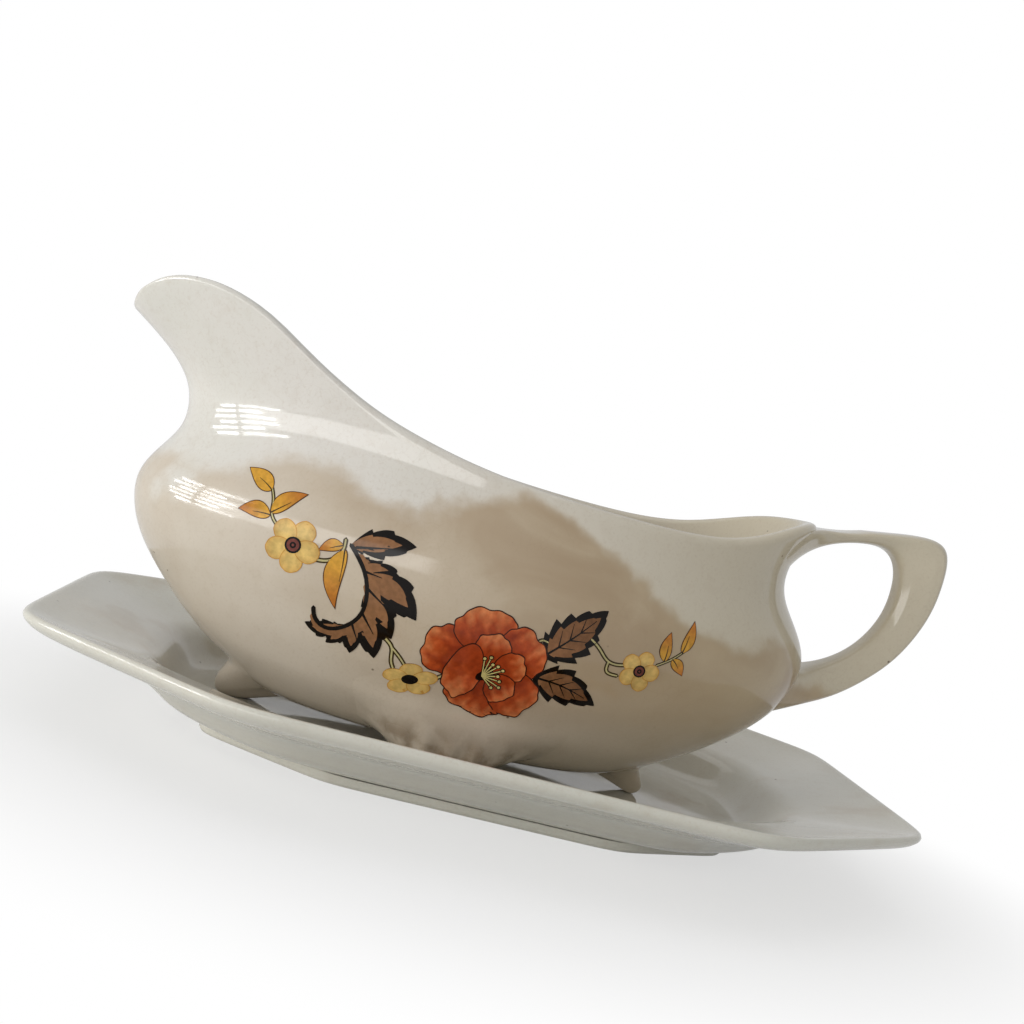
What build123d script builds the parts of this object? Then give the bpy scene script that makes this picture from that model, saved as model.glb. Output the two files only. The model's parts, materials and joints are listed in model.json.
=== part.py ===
from build123d import *
import math
import os

# Earthenware gravy boat with four fan feet and an angular loop handle, standing on its octagonal dish.
#
# Frame: +Z up, origin at the centre of the dish's foot ring on the table, spout towards -X and handle
# towards +X. Millimetres throughout. The boat (shell, handle, four feet) lifts off the stand (dish, foot ring).

os.makedirs("parts", exist_ok=True)

# ---------------------------------------------------------------- stand
DISH_HALF_LENGTH = 107.0
DISH_HALF_WIDTH = 72.0
DISH_CORNER_X = 0.47      # share of the half length that each cut corner takes
DISH_CORNER_Y = 0.48      # share of the half width that each cut corner takes
CORNER_RADIUS = 9.0
FOOT_RING_HEIGHT = 2.5
FOOT_RING_HALF_LENGTH = 66.0
FOOT_RING_HALF_WIDTH = 35.0
FOOT_RING_WALL = 4.0
WELL_FLOOR_Z = 6.0
DISH_EDGE_Z = 22.0
# each outline of the dish: height, distance in from the dish's outer edge
DISH_OUTSIDE = [(2.5, 36.0), (5.0, 30.0), (11.5, 24.0), (17.0, 4.0), (19.5, 0.0), (DISH_EDGE_Z, 0.0)]
DISH_INSIDE = [(DISH_EDGE_Z, 3.0), (20.5, 5.0), (15.5, 25.0), (8.5, 30.0), (WELL_FLOOR_Z, 34.0)]

# ---------------------------------------------------------------- boat
SEAT_GAP = 0.1
BOAT_Z = WELL_FLOOR_Z + SEAT_GAP     # height of the soles of the boat's feet
BOAT_X = -9.7      # the boat's middle, so that spout and handle overhang the dish alike
WALL = 3.8
FLOOR_THICKNESS = 4.5
CUT_REACH = 130.0      # the cut over the rim clears the hull by this much from the middle
CUT_TOP_Z = 120.0
# hull stations: height over the soles, front end, rear end, half width, taper towards the spout
HULL = [
    (5.0, -47.0, 46.0, 22.0, 0.00),
    (7.0, -51.5, 50.5, 26.0, 0.00),
    (9.5, -55.0, 55.0, 29.0, 0.00),
    (13.0, -60.0, 61.0, 32.2, 0.00),
    (18.0, -67.5, 68.5, 35.3, 0.01),
    (24.0, -74.1, 76.0, 38.5, 0.02),
    (30.0, -79.8, 81.6, 40.6, 0.03),
    (36.0, -84.0, 85.2, 42.0, 0.03),
    (42.0, -86.3, 86.6, 42.9, 0.04),
    (48.0, -86.5, 85.4, 42.8, 0.05),
    (54.0, -83.8, 81.5, 41.6, 0.07),
    (60.0, -80.4, 77.2, 39.9, 0.10),
    (66.0, -79.8, 75.8, 38.7, 0.15),
    (72.0, -82.0, 77.0, 38.5, 0.20),
    (78.0, -87.8, 79.5, 39.0, 0.25),
    (84.0, -96.6, 82.5, 39.6, 0.31),
    (92.0, -109.0, 86.5, 40.2, 0.39),
    (100.0, -119.0, 90.0, 40.8, 0.44),
]
# rim line in side view, from beyond the handle end to beyond the spout
RIM = [
    (104.0, 82.0), (88.0, 81.0), (77.0, 79.6), (68.0, 76.2), (57.0, 72.0), (44.0, 69.6), (28.0, 68.9),
    (8.0, 69.2), (-10.0, 70.6), (-25.0, 73.2), (-37.0, 76.6), (-48.0, 81.3), (-58.0, 86.6), (-66.0, 91.0),
    (-73.0, 93.6), (-79.0, 94.8), (-85.0, 94.9), (-91.0, 93.6), (-96.0, 90.8), (-99.5, 86.5), (-102.5, 78.0),
    (-106.0, 66.0),
]
SECTION_POINTS = 20

# handle outline in side view; both ends run into the hull and are trimmed by it
HANDLE_OUTER = [
    (70.0, 78.6), (80.0, 79.8), (92.0, 81.9), (103.6, 84.0), (112.2, 85.2), (116.5, 84.2), (118.4, 81.2),
    (119.0, 74.2), (117.9, 65.0), (113.3, 54.2), (107.2, 46.0), (98.0, 38.5), (89.5, 34.0), (80.0, 30.0),
    (70.0, 27.0),
]
HANDLE_INNER = [
    (70.0, 60.0), (76.4, 66.0), (79.5, 72.4), (84.7, 75.8), (91.0, 78.2), (98.0, 79.4), (102.9, 78.6),
    (106.5, 74.5), (107.4, 69.5), (106.8, 63.0), (103.6, 55.5), (98.0, 49.2), (91.5, 45.2), (84.0, 43.2),
    (70.0, 43.0),
]
HANDLE_HALF_WIDTH = 5.4
HANDLE_EDGE = 1.5

# feet: levels of (height, centre distance out, half length along X, half width along Y)
END_FOOT = [(0.0, 51.5, 3.6, 5.5), (5.0, 49.5, 6.0, 8.5), (13.0, 46.0, 10.0, 10.5)]
SIDE_FOOT = [(0.0, 31.6, 9.0, 3.2), (4.5, 31.2, 15.5, 5.2), (9.5, 30.2, 21.5, 7.2), (17.0, 27.5, 24.0, 9.5)]


# ---------------------------------------------------------------- shared outlines
def octagon(inset, z):
    """Rounded octagon of the dish at a height, a distance in from its outer edge."""
    half_l = DISH_HALF_LENGTH - inset
    half_w = DISH_HALF_WIDTH - inset
    return cut_corner_face(half_l, half_w, z)


def cut_corner_face(half_l, half_w, z):
    """Face of a rectangle with cut and rounded corners."""
    cut_x = half_l * (1 - DISH_CORNER_X)
    cut_y = half_w * (1 - DISH_CORNER_Y)
    corners = [
        (half_l, -cut_y), (half_l, cut_y), (cut_x, half_w), (-cut_x, half_w),
        (-half_l, cut_y), (-half_l, -cut_y), (-cut_x, -half_w), (cut_x, -half_w),
    ]
    outline = FilletPolyline(*corners, radius=CORNER_RADIUS, close=True)
    return Pos(0, 0, z) * make_face(Plane.XY * outline)


def hull_section(front, rear, half_width, taper, z):
    """Closed oval at one height, narrower towards the spout."""
    middle = (front + rear) / 2
    reach = (rear - front) / 2
    points = []
    for i in range(SECTION_POINTS):
        angle = 2 * math.pi * i / SECTION_POINTS
        y = half_width * math.sin(angle) * (1 + taper * math.cos(angle))
        points.append((middle + reach * math.cos(angle), y, z))
    return make_face(Spline(*points, periodic=True))


def side_face(points_out, points_back):
    """Face in the XZ plane between two splines that share no ends."""
    out = Spline(*[(x, 0, z) for x, z in points_out])
    back = Spline(*[(x, 0, z) for x, z in points_back])
    sides = [Line(out @ 0, back @ 0), Line(out @ 1, back @ 1)]
    return make_face([out, back, *sides])


# ---------------------------------------------------------------- boat pieces
def hull_outside():
    """Solid outside form of the hull, from its base to above the spout."""
    return loft([hull_section(front, rear, half, taper, z) for z, front, rear, half, taper in HULL])


def hull_inside():
    """Solid form of the hollow, one wall inside the hull and open at the top."""
    floor = HULL[0][0] + FLOOR_THICKNESS
    walls = [station for station in HULL if station[0] >= floor]
    sections = []
    for z, front, rear, half, taper in walls:
        sections.append(hull_section(front + WALL, rear - WALL, half - WALL, taper, z))
    return loft(sections)


def above_rim():
    """Everything over the rim line, to be cut away."""
    line = Spline(*[(x, 0, z) for x, z in RIM])
    low_front = (-CUT_REACH, 0, RIM[-1][1])
    high_front = (-CUT_REACH, 0, CUT_TOP_Z)
    high_rear = (RIM[0][0], 0, CUT_TOP_Z)
    lid = Polyline(line @ 1, low_front, high_front, high_rear, line @ 0)
    return extrude(make_face([line, lid]), amount=DISH_HALF_WIDTH, dir=(0, 1, 0), both=True)


def boat_shell(outside):
    return outside - hull_inside() - above_rim()


def handle(outside):
    """Flat-sided loop with softened edges, trimmed to the hull."""
    slab = extrude(side_face(HANDLE_OUTER, HANDLE_INNER), amount=HANDLE_HALF_WIDTH, dir=(0, 1, 0), both=True)
    faces = slab.faces().filter_by(Axis.Y)
    slab = chamfer(faces.edges().filter_by(GeomType.BSPLINE), HANDLE_EDGE)
    return slab - outside


def foot(outside, levels, direction):
    """Flared tongue from a flat sole up into the hull, trimmed to the hull."""
    ovals = []
    for z, out, half_x, half_y in levels:
        ovals.append(Pos(direction[0] * out, direction[1] * out, z) * Ellipse(half_x, half_y))
    return loft(ovals) - outside


def place(shape):
    """Moves a boat piece from its own frame to its seat on the dish."""
    return Pos(BOAT_X, 0, BOAT_Z) * shape


# ---------------------------------------------------------------- stand pieces
def stand_dish():
    body = loft([octagon(inset, z) for z, inset in DISH_OUTSIDE], ruled=True)
    hollow = loft([octagon(inset, z) for z, inset in DISH_INSIDE], ruled=True)
    return body - hollow


def stand_foot_ring():
    outer = cut_corner_face(FOOT_RING_HALF_LENGTH, FOOT_RING_HALF_WIDTH, 0)
    inner = cut_corner_face(FOOT_RING_HALF_LENGTH - FOOT_RING_WALL, FOOT_RING_HALF_WIDTH - FOOT_RING_WALL, 0)
    return extrude(outer - inner, amount=FOOT_RING_HEIGHT, dir=(0, 0, 1))


# ---------------------------------------------------------------- build and write
hull = hull_outside()
parts = {
    "boat_shell": place(boat_shell(hull)),
    "handle": place(handle(hull)),
    "stand_dish": stand_dish(),
    "stand_foot_ring": stand_foot_ring(),
}
feet = {
    "spout_foot": (END_FOOT, (-1, 0)),
    "handle_foot": (END_FOOT, (1, 0)),
    "front_side_foot": (SIDE_FOOT, (0, -1)),
    "back_side_foot": (SIDE_FOOT, (0, 1)),
}
for name, (levels, direction) in feet.items():
    parts[name] = place(foot(hull, levels, direction))

for name, part in parts.items():
    export_step(part, f"parts/{name}.step")
    print(name, "solids", len(part.solids()), "volume", round(part.volume))
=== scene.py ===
import json
import math

import bmesh
import bpy
import numpy as np
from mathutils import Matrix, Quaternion, Vector, geometry
from mathutils.bvhtree import BVHTree

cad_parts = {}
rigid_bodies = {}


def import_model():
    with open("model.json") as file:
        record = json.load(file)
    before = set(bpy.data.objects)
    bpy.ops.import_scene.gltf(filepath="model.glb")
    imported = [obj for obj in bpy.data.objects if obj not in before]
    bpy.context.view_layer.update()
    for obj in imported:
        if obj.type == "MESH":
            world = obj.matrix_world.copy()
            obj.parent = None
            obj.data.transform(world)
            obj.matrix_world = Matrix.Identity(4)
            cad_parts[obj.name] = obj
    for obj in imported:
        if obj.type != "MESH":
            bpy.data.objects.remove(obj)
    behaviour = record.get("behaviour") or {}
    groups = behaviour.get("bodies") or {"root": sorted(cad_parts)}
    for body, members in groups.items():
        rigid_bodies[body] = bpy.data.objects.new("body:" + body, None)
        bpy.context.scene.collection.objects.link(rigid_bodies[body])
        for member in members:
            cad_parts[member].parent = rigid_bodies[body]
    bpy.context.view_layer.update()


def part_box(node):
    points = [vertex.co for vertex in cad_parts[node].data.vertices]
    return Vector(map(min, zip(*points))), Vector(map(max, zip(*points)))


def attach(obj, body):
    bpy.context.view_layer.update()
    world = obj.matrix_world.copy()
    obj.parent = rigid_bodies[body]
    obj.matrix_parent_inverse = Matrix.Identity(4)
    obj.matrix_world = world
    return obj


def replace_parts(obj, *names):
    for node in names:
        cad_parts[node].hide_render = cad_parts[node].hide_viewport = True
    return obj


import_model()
mm = 0.001
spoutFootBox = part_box("spout_foot")
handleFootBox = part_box("handle_foot")
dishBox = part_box("stand_dish")
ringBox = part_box("stand_foot_ring")
# the boat's own origin: midway between its end feet, at the level of their soles
boatPlace = np.array([(spoutFootBox[0][0] + handleFootBox[1][0]) / 2, 0.0, spoutFootBox[0][2]])
print("frame loaded, boat stands at", boatPlace)


def srgb(red, green, blue):
    # a colour given on a 0 to 255 scale, as linear light
    def linear(value):
        value = value / 255
        return value / 12.92 if value <= 0.04045 else ((value + 0.055) / 1.055) ** 2.4
    return (linear(red), linear(green), linear(blue), 1.0)


def spline(xs, ys):
    # natural cubic curve through the points, as a function of x
    xs = np.asarray(xs, float)
    ys = np.asarray(ys, float)
    count = len(xs)
    gaps = np.diff(xs)
    system = np.eye(count)
    right = np.zeros(count)
    for i in range(1, count - 1):
        system[i, i - 1:i + 2] = gaps[i - 1], 2 * (gaps[i - 1] + gaps[i]), gaps[i]
        right[i] = 6 * ((ys[i + 1] - ys[i]) / gaps[i] - (ys[i] - ys[i - 1]) / gaps[i - 1])
    bend = np.linalg.solve(system, right)

    def curve(x):
        x = np.asarray(x, float)
        i = np.clip(np.searchsorted(xs, x) - 1, 0, count - 2)
        gap = gaps[i]
        t = x - xs[i]
        slope = (ys[i + 1] - ys[i]) / gap - gap * (2 * bend[i] + bend[i + 1]) / 6
        return ys[i] + slope * t + bend[i] * t ** 2 / 2 + (bend[i + 1] - bend[i]) * t ** 3 / (6 * gap)
    return curve


def smoothStep(low, high, x):
    t = np.clip((x - low) / (high - low), 0, 1)
    return t * t * (3 - 2 * t)


def faceOutward(mesh):
    work = bmesh.new()
    work.from_mesh(mesh)
    bmesh.ops.recalc_face_normals(work, faces=work.faces)
    work.to_mesh(mesh)
    work.free()


def newPiece(name, points, faces, material):
    # a smooth mesh from points in metres
    mesh = bpy.data.meshes.new(name)
    mesh.from_pydata([tuple(p) for p in points], [], faces)
    mesh.materials.append(material)
    piece = bpy.data.objects.new(name, mesh)
    bpy.context.collection.objects.link(piece)
    mesh.shade_smooth()
    faceOutward(mesh)
    mesh.update()
    return piece


def tubeFaces(rows, columns):
    # quads of a grid whose columns close round
    faces = []
    for r in range(rows - 1):
        for c in range(columns):
            after = (c + 1) % columns
            faces.append((
                r * columns + c, r * columns + after, (r + 1) * columns + after, (r + 1) * columns + c
            ))
    return faces


def closedTube(rows):
    # rows of points plus a fan to a middle point at each end
    rows = [np.asarray(row) for row in rows]
    columns = len(rows[0])
    points = list(np.concatenate(rows))
    faces = tubeFaces(len(rows), columns)
    for row, first in ((rows[0], 0), (rows[-1], (len(rows) - 1) * columns)):
        middle = len(points)
        points.append(row.mean(axis=0))
        faces += [(first + (c + 1) % columns, first + c, middle) for c in range(columns)]
    return points, faces


def onBoat(points):
    # boat millimetres to frame metres
    return np.asarray(points) * mm + boatPlace


# materials
def addNode(tree, kind, inputs=None, **settings):
    node = tree.nodes.new(kind)
    for key, value in settings.items():
        setattr(node, key, value)
    for key, value in (inputs or {}).items():
        if isinstance(value, bpy.types.NodeSocket):
            tree.links.new(value, node.inputs[key])
        else:
            node.inputs[key].default_value = value
    return node


def maths(tree, operation, first, second=0.0, clamp=False):
    return addNode(
        tree, "ShaderNodeMath", {0: first, 1: second}, operation=operation, use_clamp=clamp
    ).outputs[0]


def times(tree, first, second):
    return maths(tree, "MULTIPLY", first, second)


def plus(tree, first, second):
    return maths(tree, "ADD", first, second)


def minus(tree, first, second):
    return maths(tree, "SUBTRACT", first, second)


def remap(tree, value, low, high, toLow=0.0, toHigh=1.0):
    inputs = {"Value": value, "From Min": low, "From Max": high, "To Min": toLow, "To Max": toHigh}
    return addNode(tree, "ShaderNodeMapRange", inputs, interpolation_type="SMOOTHSTEP").outputs[0]


def mixColour(tree, factor, first, second, blend="MIX"):
    node = addNode(tree, "ShaderNodeMix", data_type="RGBA", blend_type=blend)
    for index, value in ((0, factor), (6, first), (7, second)):
        if isinstance(value, bpy.types.NodeSocket):
            tree.links.new(value, node.inputs[index])
        else:
            node.inputs[index].default_value = value
    return node.outputs[2]


def noise(tree, vector, scale, detail=3.0, distortion=0.0):
    inputs = {"Vector": vector, "Scale": scale, "Detail": detail, "Distortion": distortion}
    return addNode(tree, "ShaderNodeTexNoise", inputs).outputs["Fac"]


def agedGlazeGroup():
    # old cream glaze: soaked-in tea clouds with a tide mark, a trace of crazing, fine grain, iron specks
    tree = bpy.data.node_groups.new("agedGlaze", "ShaderNodeTree")
    for name, kind, value in (
        ("Position", "NodeSocketVector", (0, 0, 0)),
        ("Glaze", "NodeSocketColor", srgb(226, 222, 212)),
        ("Stain", "NodeSocketColor", srgb(190, 168, 140)),
        ("Deep Stain", "NodeSocketColor", srgb(150, 120, 88)),
        ("Soaked", "NodeSocketFloat", 0.5),
        ("Depth", "NodeSocketFloat", 1.0),
        ("Edge Softness", "NodeSocketFloat", 0.1),
        ("Warm Darkening", "NodeSocketFloat", 0.0),
        ("Grime", "NodeSocketFloat", 0.0),
        ("Crazing", "NodeSocketFloat", 0.3),
        ("Specks", "NodeSocketFloat", 0.5),
    ):
        tree.interface.new_socket(name, in_out="INPUT", socket_type=kind).default_value = value
    for name, kind in (
        ("Color", "NodeSocketColor"), ("Roughness", "NodeSocketFloat"), ("Height", "NodeSocketFloat")
    ):
        tree.interface.new_socket(name, in_out="OUTPUT", socket_type=kind)
    given = {socket.name: socket for socket in tree.nodes.new("NodeGroupInput").outputs if socket.name}
    place = given["Position"]

    # how far the stain reaches, ragged at two sizes
    broad = times(tree, minus(tree, noise(tree, place, 30, 4, 0.5), 0.5), 0.75)
    ragged = times(tree, minus(tree, noise(tree, place, 120, 3), 0.5), 0.22)
    level = plus(tree, given["Soaked"], plus(tree, broad, ragged))
    stained = remap(tree, level, 0.30, plus(tree, given["Edge Softness"], 0.36))
    tide = times(tree, remap(tree, level, 0.33, 0.42), remap(tree, level, 0.60, 0.42))
    clouds = remap(tree, noise(tree, place, 24, 5, 0.9), 0.33, 0.60)
    pale = remap(tree, noise(tree, place, 19, 3, 0.4), 0.34, 0.50, 0.88, 1.0)
    stained = times(tree, stained, times(tree, pale, remap(tree, given["Depth"], 0.0, 1.0, 0.66, 1.0)))
    colour = mixColour(tree, stained, given["Glaze"], given["Stain"])
    deep = times(tree, stained, times(tree, clouds, times(tree, given["Depth"], 0.80)))
    colour = mixColour(tree, deep, colour, given["Deep Stain"])
    colour = mixColour(tree, times(tree, tide, 0.22), colour, given["Deep Stain"])

    # the clean glaze pools grey-green; a fine grain shows everywhere
    pooled = times(tree, minus(tree, 1.0, stained), remap(tree, noise(tree, place, 20, 3), 0.42, 0.68))
    colour = mixColour(tree, times(tree, pooled, 0.4), colour, srgb(202, 203, 192))
    # the glaze turns warmer and darker where Warm Darkening is given
    colour = mixColour(tree, given["Warm Darkening"], colour, (0.82, 0.75, 0.58, 1.0), "MULTIPLY")
    grain = noise(tree, place, 1500, 2)
    mottle = noise(tree, place, 300, 3)
    colour = mixColour(tree, remap(tree, grain, 0.50, 0.78, 0.0, 0.16), colour, given["Deep Stain"])
    colour = mixColour(tree, remap(tree, mottle, 0.50, 0.72, 0.0, 0.08), colour, given["Deep Stain"])
    dirt = times(tree, given["Grime"], remap(tree, noise(tree, place, 190, 4), 0.38, 0.62))
    colour = mixColour(tree, dirt, colour, srgb(116, 90, 58))

    # crazing: hairlines between warped cells
    bent = addNode(
        tree, "ShaderNodeTexNoise", {"Vector": place, "Scale": 150, "Detail": 1.0}
    ).outputs["Color"]
    shift = addNode(tree, "ShaderNodeVectorMath", {0: bent, "Scale": 0.003}, operation="SCALE").outputs[0]
    warped = addNode(tree, "ShaderNodeVectorMath", {0: place, 1: shift}, operation="ADD").outputs[0]
    cells = addNode(
        tree, "ShaderNodeTexVoronoi", {"Vector": warped, "Scale": 420}, feature="DISTANCE_TO_EDGE"
    ).outputs["Distance"]
    line = times(tree, remap(tree, cells, 0.05, 0.012), remap(tree, noise(tree, place, 50, 2), 0.42, 0.62))
    line = times(tree, line, given["Crazing"])
    colour = mixColour(tree, line, colour, srgb(128, 102, 76))

    dots = addNode(tree, "ShaderNodeTexVoronoi", {"Vector": place, "Scale": 150}).outputs["Distance"]
    speck = times(tree, remap(tree, dots, 0.07, 0.03), remap(tree, noise(tree, place, 60, 1), 0.50, 0.56))
    colour = mixColour(tree, times(tree, speck, given["Specks"]), colour, srgb(84, 64, 46))

    dull = plus(tree, times(tree, stained, 0.05), times(tree, dirt, 0.35))
    rough = maths(tree, "ADD", remap(tree, mottle, 0.3, 0.7, 0.05, 0.11), dull, clamp=True)
    height = plus(tree, noise(tree, place, 38, 2), times(tree, mottle, 0.03))
    height = minus(tree, height, times(tree, plus(tree, line, speck), 0.04))

    out = tree.nodes.new("NodeGroupOutput").inputs
    for name, value in (("Color", colour), ("Roughness", rough), ("Height", height)):
        tree.links.new(value, out[name])
    return tree


glazeGroup = agedGlazeGroup()


def freshMaterial(name):
    material = bpy.data.materials.new(name)
    material.use_nodes = True
    tree = material.node_tree
    shader = tree.nodes["Principled BSDF"]
    shader.inputs["IOR"].default_value = 1.5
    shader.inputs["Coat Weight"].default_value = 0.25
    shader.inputs["Coat Roughness"].default_value = 0.03
    place = tree.nodes.new("ShaderNodeTexCoord").outputs["Object"]
    return material, tree, shader, place


def finishGlaze(tree, shader, group, relief):
    tree.links.new(group.outputs["Color"], shader.inputs["Base Color"])
    tree.links.new(group.outputs["Roughness"], shader.inputs["Roughness"])
    bump = addNode(
        tree, "ShaderNodeBump", {"Height": group.outputs["Height"], "Strength": 1.0, "Distance": relief}
    )
    tree.links.new(bump.outputs[0], shader.inputs["Normal"])


def placeGlaze(tree, look):
    # the shared glaze group with one ware's own colours
    group = addNode(tree, "ShaderNodeGroup", node_tree=glazeGroup)
    for name, key in (
        ("Glaze", "clean"), ("Stain", "stain"), ("Deep Stain", "deep"),
        ("Edge Softness", "softness"), ("Crazing", "crazing"), ("Specks", "specks"),
    ):
        group.inputs[name].default_value = look[key]
    return group


boatGlaze = {
    "clean": srgb(217, 213, 206), "stain": srgb(199, 184, 162), "deep": srgb(170, 149, 123),
    "softness": 0.10, "crazing": 0.05, "specks": 0.8, "relief": 0.0003,
    # how high the tea stain reaches along the boat, spout to handle: x and z over the soles, millimetres
    "stainLine": [
        (-100, 50), (-81, 54), (-62, 58), (-45, 60), (-28, 58), (-15, 59), (0, 64), (10, 65), (25, 60),
        (40, 54), (60, 49), (80, 46), (100, 42)
    ],
    "stainRamp": 0.030,
}


def makeBoatGlaze():
    # the belly took up tea and fat, the lip and neck stayed pale
    material, tree, shader, place = freshMaterial("boatGlaze")
    split = addNode(tree, "ShaderNodeSeparateXYZ", {0: place}).outputs
    x = minus(tree, split[0], float(boatPlace[0]))
    z = minus(tree, split[2], float(boatPlace[2]))
    reach = tree.nodes.new("ShaderNodeFloatCurve")
    curve = reach.mapping.curves[0]
    heights = [((a + 100) / 200, b / 100) for a, b in boatGlaze["stainLine"]]
    curve.points[0].location, curve.points[1].location = heights[0], heights[-1]
    for spot in heights[1:-1]:
        curve.points.new(*spot)
    reach.mapping.update()
    tree.links.new(plus(tree, times(tree, x, 5.0), 0.5), reach.inputs["Value"])
    below = minus(tree, times(tree, reach.outputs[0], 0.1), z)
    soaked = plus(tree, maths(tree, "DIVIDE", below, boatGlaze["stainRamp"]), 0.36)
    most = remap(tree, x, -0.082, -0.035, 0.42, 0.92)    # the spout end took up less
    soaked = maths(tree, "MINIMUM", maths(tree, "MAXIMUM", soaked, -0.2), most)
    # dirt gathers round the side feet
    ax, ay = maths(tree, "ABSOLUTE", x), maths(tree, "ABSOLUTE", split[1])
    grime = times(tree, remap(tree, ax, 0.034, 0.014), remap(tree, z, 0.016, 0.004))
    grime = times(tree, grime, remap(tree, ay, 0.024, 0.032))
    # warmer and darker towards the handle end, and more so higher up
    warmDarkening = remap(tree, x, -0.055, 0.075, 0.05, 0.85)
    depth = times(tree, remap(tree, x, -0.065, -0.010, 0.05, 1.0), remap(tree, z, 0.010, 0.045, 0.2, 1.0))
    warmDarkening = times(tree, warmDarkening, remap(tree, z, 0.010, 0.045, 0.5, 1.0))
    group = placeGlaze(tree, boatGlaze)
    for name, value in (
        ("Position", place), ("Soaked", soaked), ("Depth", depth), ("Warm Darkening", warmDarkening),
        ("Grime", times(tree, grime, 0.8))
    ):
        tree.links.new(value, group.inputs[name])
    finishGlaze(tree, shader, group, boatGlaze["relief"])
    return material


dishGlaze = {
    "clean": srgb(212, 209, 197), "stain": srgb(201, 190, 170), "deep": srgb(180, 162, 136),
    "softness": 0.35, "crazing": 0.05, "specks": 0.6, "soaked": 0.26, "relief": 0.0002,
}


def makeDishGlaze():
    material, tree, shader, place = freshMaterial("dishGlaze")
    group = placeGlaze(tree, dishGlaze)
    tree.links.new(place, group.inputs["Position"])
    group.inputs["Soaked"].default_value = dishGlaze["soaked"]
    finishGlaze(tree, shader, group, dishGlaze["relief"])
    return material


def makeSprayInk():
    # printed and hand-tinted colours fused into the glaze, stippled like a transfer
    material, tree, shader, place = freshMaterial("sprayInk")
    ink = addNode(
        tree, "ShaderNodeAttribute", attribute_name="ink", attribute_type="GEOMETRY"
    ).outputs["Color"]
    grain = noise(tree, place, 900, 3)
    wash = noise(tree, place, 210, 3, 0.4)
    shade = times(tree, remap(tree, grain, 0.3, 0.7, 0.88, 1.10), remap(tree, wash, 0.3, 0.7, 0.86, 1.12))
    scaled = addNode(tree, "ShaderNodeVectorMath", {0: ink, "Scale": shade}, operation="SCALE").outputs[0]
    tree.links.new(scaled, shader.inputs["Base Color"])
    tree.links.new(remap(tree, wash, 0.3, 0.7, 0.08, 0.15), shader.inputs["Roughness"])
    shader.inputs["Specular IOR Level"].default_value = 0.22
    shader.inputs["Coat Weight"].default_value = 0.0
    bump = addNode(
        tree, "ShaderNodeBump",
        {"Height": noise(tree, place, 38, 2), "Strength": 1.0, "Distance": boatGlaze["relief"]}
    )
    tree.links.new(bump.outputs[0], shader.inputs["Normal"])
    return material


boatGlazeMaterial = makeBoatGlaze()
dishGlazeMaterial = makeDishGlaze()
sprayInkMaterial = makeSprayInk()
print("materials ready")


# the boat's shell
hull = {
    # height over the soles, spout end, handle end, half width, taper towards the spout
    "stations": [
        (5.0, -47.0, 46.0, 22.0, 0.00), (7.0, -51.5, 50.5, 26.0, 0.00), (9.5, -55.0, 55.0, 29.0, 0.00),
        (13.0, -60.0, 61.0, 32.2, 0.00), (18.0, -67.5, 68.5, 35.3, 0.01), (24.0, -74.1, 76.0, 38.5, 0.02),
        (30.0, -79.8, 81.6, 40.6, 0.03), (36.0, -84.0, 85.2, 42.0, 0.03), (42.0, -86.3, 86.6, 42.9, 0.04),
        (48.0, -86.5, 85.4, 42.8, 0.05), (54.0, -83.8, 81.5, 41.6, 0.07), (60.0, -80.4, 77.2, 39.9, 0.10),
        (66.0, -79.8, 75.8, 38.7, 0.15), (72.0, -82.0, 77.0, 38.5, 0.20), (78.0, -87.8, 79.5, 39.0, 0.25),
        (84.0, -96.6, 82.5, 39.6, 0.31), (92.0, -109.0, 86.5, 40.2, 0.39), (100.0, -119.0, 90.0, 40.8, 0.44),
    ],
    # side view of the rim, from beyond the spout to beyond the handle end
    "rim": [
        (-106, 66), (-102.5, 78), (-99.5, 86.5), (-96, 90.8), (-91, 93.6), (-85, 94.9), (-79, 94.8),
        (-73, 93.6), (-66, 91), (-58, 86.6), (-48, 81.3), (-37, 76.6), (-25, 73.2), (-10, 70.6),
        (8, 69.2), (28, 68.9), (44, 69.6), (57, 72), (68, 76.2), (77, 79.6), (88, 81), (104, 82),
    ],
    "wall": 3.8, "floorTop": 9.7, "around": 288, "upRows": 76, "downRows": 56, "rimRows": 9,
    "floorRound": 3.2, "floorShrink": 0.16, "cornerRows": 8,
}
stationTable = np.array(hull["stations"])
hullFront, hullRear, hullHalf, hullTaper = (
    spline(stationTable[:, 0], stationTable[:, k]) for k in (1, 2, 3, 4)
)
rimTable = np.array(hull["rim"], float)
rimLine = spline(rimTable[:, 0], rimTable[:, 1])


def hullPoint(angle, z, inset=0.0):
    # angle 0 is the handle end, 180 degrees the spout
    front, rear, half = hullFront(z) + inset, hullRear(z) - inset, hullHalf(z) - inset
    c, s = np.cos(angle), np.sin(angle)
    x = (front + rear) / 2 + (rear - front) / 2 * c
    y = half * s * (1 + hullTaper(z) * c)
    return np.stack([x, y, z + 0 * x], axis=-1)


def endDrop(y, z):
    # how far the handle end of the hull has curved back at this distance from its middle
    c = np.ones_like(y)
    for _ in range(8):
        s = np.clip(np.abs(y) / (hullHalf(z) * (1 + hullTaper(z) * c)), 0, 0.99)
        c = np.sqrt(1 - s * s)
    return (hullRear(z) - hullFront(z)) / 2 * (1 - c)


def rimHeight(angle):
    low, high = np.full_like(angle, 50.0), np.full_like(angle, 99.0)
    for _ in range(40):
        middle = (low + high) / 2
        over = middle > rimLine(hullPoint(angle, middle)[..., 0])
        low, high = np.where(over, low, middle), np.where(over, middle, high)
    return (low + high) / 2


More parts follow.
